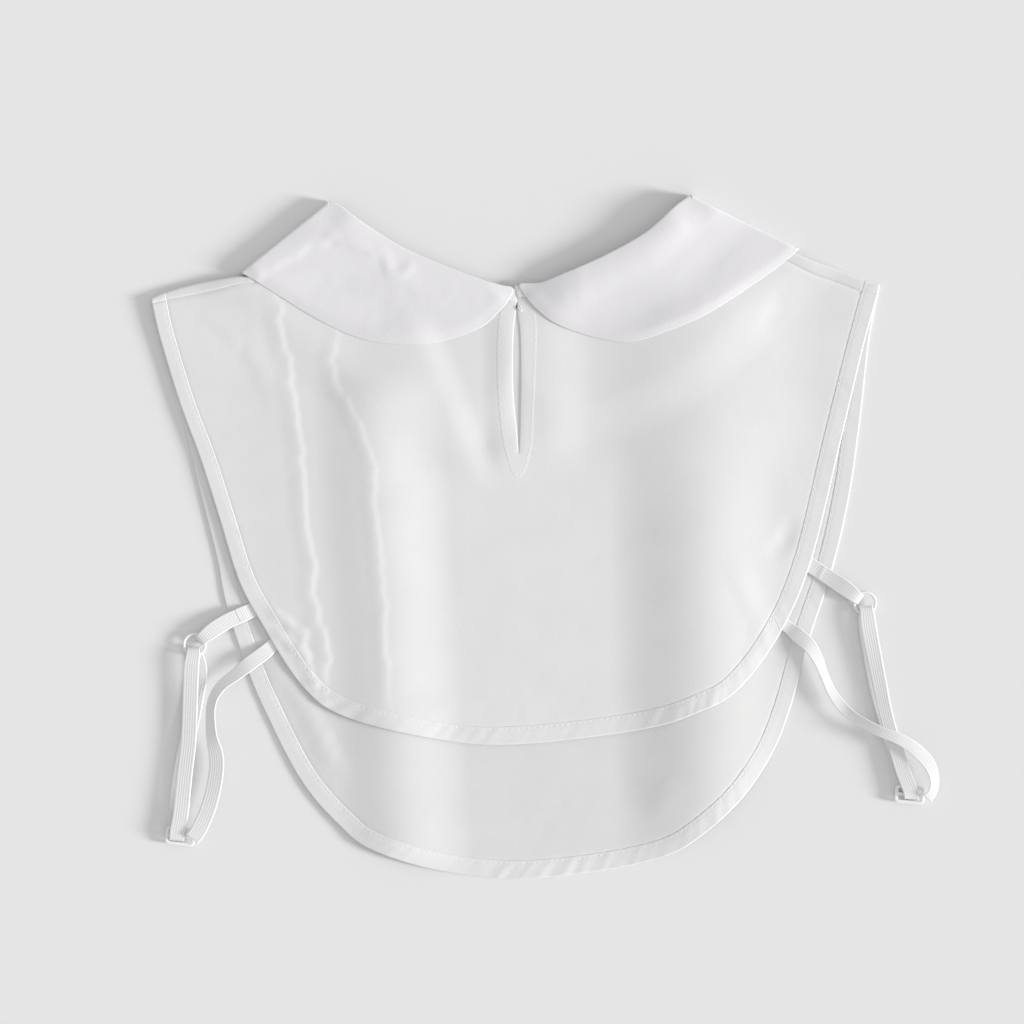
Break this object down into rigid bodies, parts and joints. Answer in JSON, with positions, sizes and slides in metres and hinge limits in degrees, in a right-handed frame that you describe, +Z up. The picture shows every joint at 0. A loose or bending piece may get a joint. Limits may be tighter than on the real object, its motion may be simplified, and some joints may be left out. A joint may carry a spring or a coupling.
{
  "type": "detachable peter pan collar with half-shirt panels",
  "caption": "Detachable half-shirt front and back with a peter pan collar, laid flat with its back up, with a keyhole slit and elastic side straps.",
  "frame": {"origin": "on the table, on the garment's centre line, midway along its length, at the flat underside of the front panel", "axes": "+X to the right with the garment seen from above, back up and neck away from the viewer; +Y from the hem to the neck; +Z up from the table"},
  "size_m": [0.3939, 0.3414, 0.0112],
  "materials": {
    "satin": "white polyester satin, soft sheen",
    "elastic": "matt knitted elastic tape",
    "plastic": "white coated ring and slider",
    "thread": "white sewing thread"
  },
  "bodies": {
    "root": {"front_panel": "satin", "front_binding": "satin", "back_panel": "satin", "back_binding": "satin", "keyhole_facing": "satin", "neck_binding_left": "satin", "neck_binding_right": "satin", "collar_left": "satin", "collar_right": "satin", "thread_loop": "thread", "tab_left": "elastic", "tab_right": "elastic", "strap_left_doubled": "elastic", "strap_left_loose": "elastic", "strap_right_doubled": "elastic", "strap_right_loose": "elastic", "ring_left": "plastic", "ring_right": "plastic", "slider_left": "plastic", "slider_right": "plastic"}
  },
  "joints": []
}
